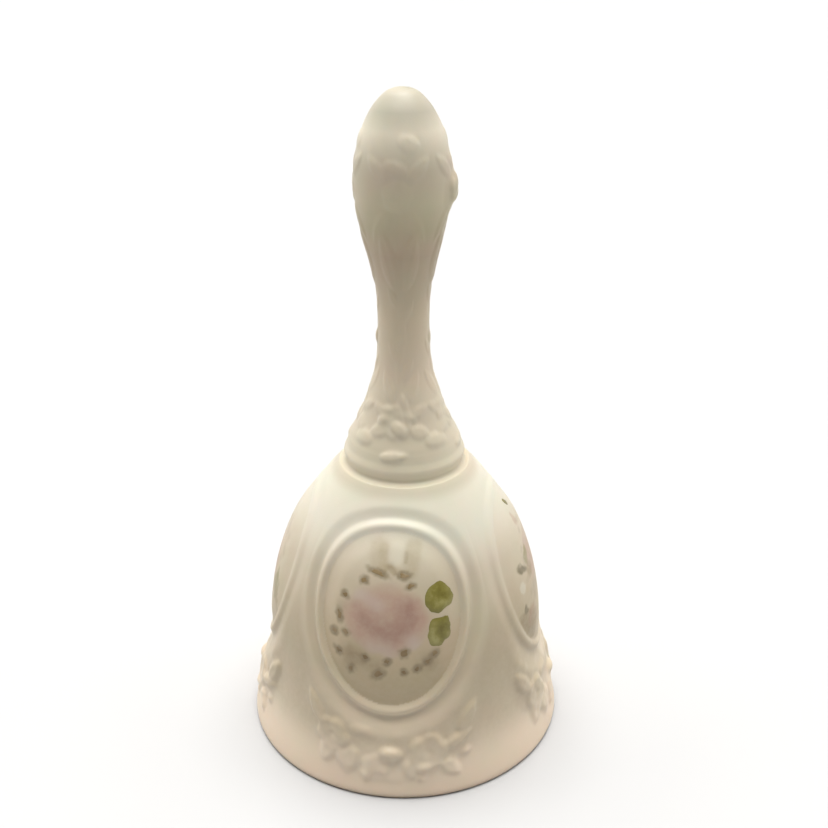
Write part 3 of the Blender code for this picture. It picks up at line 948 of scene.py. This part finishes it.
def glass_material():
    """Etched opal glass: ivory with a faint pink and green mottle, a height tone with painted light and
    painted shade in it, and the soft paint with painted shade on and between the ovals.
    """
    s = Shader("satin_opal_glass", {"Roughness": 0.46, "IOR": 1.5, "Subsurface Weight": 0.25,
                                    "Subsurface Radius": (1.0, 0.75, 0.50), "Subsurface Scale": 0.002})
    body = s.ramp(s.noise(95.0, 4.0, 0.6), ((0.34, (0.625, 0.488, 0.398)), (0.66, (0.495, 0.518, 0.356))))
    height = s.node("ShaderNodeSeparateXYZ", {"Vector": s.coordinates()}).outputs["Z"]
    # the height tone, with painted light and painted shade in it
    tone_and_painted_light = s.ramp(s.span(height, 0.0, TONE_TOP), GLASS_TONE_AND_PAINTED_LIGHT)
    # the paint, and the painted shade on and between the ovals, from the colour attribute
    paint_and_painted_shade = s.node("ShaderNodeVertexColor", {}, layer_name="paint_and_painted_shade")
    thin = s.span(s.noise(620.0, 4.0, 0.6), 0.30, 0.62, 0.78, 1.0)
    cover = s.node("ShaderNodeMath", {0: paint_and_painted_shade.outputs["Alpha"], 1: thin}, operation="MULTIPLY")
    s.colour(s.mix(cover.outputs["Value"], s.mix(0.8, body, tone_and_painted_light), paint_and_painted_shade.outputs["Color"]))
    s.rough(s.span(s.noise(420.0, 2.0), 0.3, 0.7, 0.40, 0.52))
    s.bump(s.noise(1900.0, 3.0), 0.25, 0.00006)
    return s


def enamel(name, dark, middle, light, pooled, roughness):
    """Hand-laid enamel: streaky, and another shade where it pooled at its edge."""
    s = Shader(name, {"Roughness": roughness})
    streaks = s.ramp(s.noise(210.0, 5.0, 0.6), ((0.34, dark), (0.50, middle), (0.66, light)))
    pool = s.node("ShaderNodeAttribute", {}, attribute_name="pool")
    s.colour(s.mix(s.span(pool.outputs["Fac"], 0.62, 1.0, 0.0, 0.55), streaks, pooled))
    s.bump(s.noise(900.0, 2.0), 0.4, 0.00008)
    return s


# Each enamel's dark, middle and light streaks, its pooled shade and its roughness.
LEAF_ENAMEL = ((0.140, 0.115, 0.016), (0.210, 0.185, 0.038), (0.320, 0.290, 0.100),
               (0.190, 0.165, 0.045), 0.36)
LEAFLET_ENAMEL = ((0.190, 0.125, 0.055), (0.250, 0.175, 0.085), (0.330, 0.250, 0.140),
                  (0.260, 0.185, 0.095), 0.42)


def wire_material():
    s = Shader("tarnished_brass", {"Metallic": 1.0})
    s.colour(s.ramp(s.noise(420.0, 5.0), (
        (0.30, (0.34, 0.22, 0.10)), (0.48, (0.66, 0.48, 0.23)), (0.75, (0.80, 0.63, 0.34)))))
    s.rough(s.span(s.noise(700.0, 3.0), 0.3, 0.7, 0.22, 0.48))
    s.bump(s.noise(2600.0, 3.0), 0.3, 0.00004)
    return s


def bead_material():
    s = Shader("bead_glass", {"Roughness": 0.14, "Coat Weight": 0.5, "Coat Roughness": 0.05,
                              "Subsurface Weight": 0.3, "Subsurface Radius": (1.0, 0.8, 0.6),
                              "Subsurface Scale": 0.002})
    swirl = s.node("ShaderNodeTexWave", {"Scale": 70.0, "Distortion": 7.0, "Detail": 3.0,
                                         "Vector": s.coordinates()}, wave_type="BANDS", bands_direction="Z")
    s.colour(s.ramp(swirl.outputs["Fac"], ((0.2, (0.78, 0.73, 0.64)), (0.8, (0.86, 0.82, 0.75)))))
    return s


def cement_material():
    s = Shader("cement", {"Roughness": 0.93})
    s.colour(s.ramp(s.noise(900.0, 5.0, 0.65), ((0.3, (0.40, 0.36, 0.29)), (0.7, (0.66, 0.61, 0.52)))))
    s.bump(s.noise(1400.0, 4.0, 0.7), 0.8, 0.0002)
    return s


def floor_material():
    s = Shader("paper", {"Roughness": 0.9})
    s.colour(s.ramp(s.noise(6.0, 3.0), ((0.3, (0.485, 0.488, 0.500)), (0.7, (0.495, 0.498, 0.510)))))
    return s


def backdrop_material():
    return Shader("backdrop_paper", {
        "Roughness": 1.0, "Base Color": (0.0, 0.0, 0.0, 1.0), "Specular IOR Level": 0.0,
        "Emission Color": (1.0, 0.995, 0.985, 1.0), "Emission Strength": 1.0})


# ---- what hangs inside
WIRE = 1.1 * MM
GAP = 0.3 * MM
BORE = WIRE / 2.0 + GAP
EYE_RADIUS = 2.3 * MM
EYE_STEPS = 40
EYE_START = math.radians(128.0)
EYE_TURN = math.radians(300.0)
LINKS = 5
LINK_BEND_STEPS = 18
# How far along a link's straight side its points lie.  The middle one is pinched to show the butt joint.
LINK_SIDE_SHARES = (0.25, 0.47, 0.50, 0.53, 0.75)
SEAM_PLACE = LINK_BEND_STEPS + 1 + 2
SEAM_PINCH = 0.86
HEAD_STEPS = 18
HEAD_COLUMNS = 28
BEAD_STEPS = 72
BEAD_COLUMNS = 96
PLUG_COLUMNS = 64


def loop_points(centre, shank_end, up):
    """An eye and its shank, bent from one wire in the XZ plane.  The shank goes up (1.0) or down (-1.0)."""
    neck = EYE_RADIUS + WIRE + GAP
    points = [(0.0, 0.0, shank_end), (0.0, 0.0, centre + up * (neck + 1.6 * MM))]
    knee = ((0.0, neck + 0.5 * MM), (-0.25 * MM, neck - 0.3 * MM), (-0.85 * MM, neck - 1.0 * MM))
    points += [(x, 0.0, centre + up * z) for x, z in knee]
    for step in range(EYE_STEPS + 1):
        turn = EYE_START + EYE_TURN * step / EYE_STEPS
        points.append((EYE_RADIUS * math.cos(turn), 0.0, centre + up * EYE_RADIUS * math.sin(turn)))
    return points


def make_chain(material):
    """The links: bent wire, closed with a butt joint that shows as a fine seam in one side."""
    for number in range(1, LINKS + 1):
        low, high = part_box("chain_link_%d" % number)
        centre = (low + high) / 2.0
        bow = (max(high.x - low.x, high.y - low.y) - WIRE) / 2.0
        straight = (high.z - low.z - WIRE) / 2.0 - bow
        along_x = high.x - low.x > high.y - low.y
        outline = []
        for end in (1.0, -1.0):
            for step in range(LINK_BEND_STEPS + 1):
                turn = math.pi * step / LINK_BEND_STEPS
                outline.append((end * bow * math.cos(turn), end * (straight + bow * math.sin(turn))))
            outline += [(-end * bow, end * straight * (1.0 - 2.0 * share)) for share in LINK_SIDE_SHARES]
        points = [(flat, 0.0, centre.z + rise) if along_x else (0.0, flat, centre.z + rise)
                  for flat, rise in outline]
        verts, quads, caps = tube(points, WIRE / 2.0, True)
        ring = slice(SEAM_PLACE * WIRE_SIDES, SEAM_PLACE * WIRE_SIDES + WIRE_SIDES)
        middle = verts[ring].mean(0)
        verts[ring] = middle + (verts[ring] - middle) * SEAM_PINCH
        link = finished(mesh_from("link_%d_wire" % number, verts, quads, caps), material)
        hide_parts("chain_link_%d" % number)
        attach(link, "link_%d" % number)


def make_eye(material):
    low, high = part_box("anchor_eye")
    centre = low.z + WIRE / 2.0 + EYE_RADIUS
    eye = finished(mesh_from("eye_wire", *tube(loop_points(centre, high.z, 1.0), WIRE / 2.0)), material)
    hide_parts("anchor_eye")
    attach(eye, "bell")


def make_pin(material):
    """The clapper's eye pin, with an upset head that carries the bead."""
    low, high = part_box("clapper_pin")
    centre = high.z - WIRE / 2.0 - EYE_RADIUS
    head_radius = (high.y - low.y) / 2.0
    head = low.z + head_radius
    wire = tube(loop_points(centre, head, -1.0), WIRE / 2.0)
    turn = np.linspace(-math.pi / 2.0, math.pi / 2.0, HEAD_STEPS)
    rise = np.maximum(head + head_radius * np.sin(turn) * 0.9, low.z)
    profile = np.stack([np.maximum(head_radius * np.cos(turn), 1e-7), rise], 1)
    pin = finished(gather("clapper_pin_wire", [wire, lathe(profile, HEAD_COLUMNS)]), material)
    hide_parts("clapper_pin")
    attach(pin, "clapper")


def make_bead(material):
    """A pressed glass ball: a bore with soft edges and a faint belt where the mould met."""
    low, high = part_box("clapper_bead")
    radius = (high.x - low.x) / 2.0
    first = math.asin((BORE + 0.0006) / radius)
    turn = np.linspace(first, math.pi - first, BEAD_STEPS)
    out = (radius - 0.00004) * (1.0 - 0.0006 * np.cos(12.0 * turn))
    out = np.minimum(out + 0.00006 * np.exp(-((turn - math.pi / 2.0) / 0.02) ** 2), radius)
    outer = np.stack([out * np.sin(turn), out * np.cos(turn)], 1)
    top = outer[0, 1]
    lip = [(BORE, top - 0.0007), (BORE + 0.0001, top - 0.00035), (BORE + 0.0003, top - 0.0001)]
    line = lip + [tuple(p) for p in outer] + [(r, -z) for r, z in reversed(lip)]
    line += [(BORE, z) for z in np.linspace(-(top - 0.0012), top - 0.0012, 8)]
    line.append(line[0])
    shape = lathe(np.array(line)[::-1], BEAD_COLUMNS, (low + high) / 2.0)
    bead = finished(mesh_from("bead_ball", *shape), material)
    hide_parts("clapper_bead")
    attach(bead, "bead")


def make_plug(material):
    """The cement in the socket, a little hollow and rough on its open face."""
    low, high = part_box("anchor_plug")
    radius = (high.x - low.x) / 2.0
    face = low.z + 0.0002
    across = np.linspace(BORE, radius - 0.0004, 9)
    under = [(r, face + 0.00025 * math.cos((r - BORE) / (radius - BORE) * math.pi * 0.9)) for r in across]
    side = [(radius - 0.0001, low.z + 0.0004)]
    side += [(radius, z) for z in np.linspace(low.z + 0.0008, high.z - 0.0005, 8)]
    line = [(0.00005, high.z - 0.0030), (BORE, high.z - 0.0030), (BORE, face + 0.003)] + under + side
    line += [(radius - 0.0005, high.z), (0.00005, high.z)]
    plug = finished(mesh_from("plug_cement", *lathe(line, PLUG_COLUMNS)), material)
    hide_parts("anchor_plug")
    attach(plug, "bell")


# ---- stage
CAMERA_AZIMUTH = math.radians(6.3)
CAMERA_DISTANCE = 0.2806
CAMERA_HEIGHT = 0.2219
CAMERA_PITCH = math.radians(25.03)
CAMERA_ROLL = math.radians(-0.12)
CAMERA_SIDE = 0.0026
CAMERA_LENS = 51.32
SENSOR_WIDTH = 36.0
NEAREST_SEEN = 0.01
# Softboxes far off: name, strength, spread in degrees, where each comes from.
SUNS = (
    ("overhead", 5.2, 60.0, (0.0, 0.08, 1.0)),
    ("left", 1.85, 90.0, (-0.9, 0.6, 0.4)),
    ("right", 1.30, 90.0, (0.9, 0.6, 0.4)),
)
SUN_COLOUR = (1.0, 0.985, 0.95)
WORLD_COLOUR = (1.0, 0.99, 0.97, 1.0)
WORLD_STRENGTH = 0.02
FLOOR_SIZE = 6.0
FLOOR_HEIGHT = -0.00005
BACKDROP_RADIUS = 2.9
BACKDROP_HEIGHT = 3.0
BACKDROP_COLUMNS = 96


def make_camera():
    data = bpy.data.cameras.new("camera")
    data.lens = CAMERA_LENS
    data.sensor_width = SENSOR_WIDTH
    data.clip_start = NEAREST_SEEN
    camera = linked("camera", data)
    right = Vector((math.cos(CAMERA_AZIMUTH), math.sin(CAMERA_AZIMUTH), 0.0))
    back = Vector((math.sin(CAMERA_AZIMUTH), -math.cos(CAMERA_AZIMUTH), 0.0))
    camera.location = back * CAMERA_DISTANCE + right * CAMERA_SIDE + Vector((0.0, 0.0, CAMERA_HEIGHT))
    turn = Matrix.Rotation(CAMERA_AZIMUTH, 4, "Z") @ Matrix.Rotation(math.pi / 2.0 - CAMERA_PITCH, 4, "X")
    camera.rotation_euler = (turn @ Matrix.Rotation(CAMERA_ROLL, 4, "Z")).to_euler()
    bpy.context.scene.camera = camera


def make_backdrop():
    """A white paper wall round the floor.  Only the camera sees it, so it gives no light and no shade."""
    line = np.array(((BACKDROP_RADIUS, 0.0), (BACKDROP_RADIUS, BACKDROP_HEIGHT)))
    verts = positions(*rings(line, BACKDROP_COLUMNS))
    wall = mesh_from("backdrop", verts, ring_grid(2, BACKDROP_COLUMNS, 0)[:, ::-1])
    backdrop_material().put(wall)
    for ray in ("diffuse", "glossy", "transmission", "volume_scatter", "shadow"):
        setattr(wall, "visible_" + ray, False)


def make_stage():
    """Far softboxes, a trace of light from all round, the floor and its backdrop."""
    world = bpy.data.worlds.new("studio")
    bpy.context.scene.world = world
    world.use_nodes = True
    sky = world.node_tree.nodes["Background"]
    sky.inputs["Color"].default_value = WORLD_COLOUR
    sky.inputs["Strength"].default_value = WORLD_STRENGTH
    for name, strength, spread, source in SUNS:
        data = bpy.data.lights.new(name, "SUN")
        data.energy = strength
        data.angle = math.radians(spread)
        data.color = SUN_COLOUR
        light = linked(name, data)
        light.rotation_euler = Vector(source).to_track_quat("Z", "Y").to_euler()
    bpy.ops.mesh.primitive_grid_add(x_subdivisions=8, y_subdivisions=8, size=FLOOR_SIZE,
                                    location=(0.0, 0.0, FLOOR_HEIGHT))
    floor = bpy.context.object
    floor.name = "floor"
    floor_material().put(floor)
    make_backdrop()
    bpy.context.scene.view_settings.view_transform = "Standard"


# ---- build
def main():
    make_camera()
    make_stage()
    glass = make_glass()
    glass_material().put(glass)
    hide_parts("bell_glass")
    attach(glass, "bell")
    skirt = Skirt()
    leaves = make_leaves(skirt)
    enamel("leaf_enamel", *LEAF_ENAMEL).put(leaves)
    leaflets = make_leaflets(skirt)
    enamel("leaflet_enamel", *LEAFLET_ENAMEL).put(leaflets)
    for piece in (leaves, leaflets):
        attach(piece, "bell")
    wire = wire_material()
    make_chain(wire)
    make_eye(wire)
    make_pin(wire)
    make_bead(bead_material())
    make_plug(cement_material())


main()
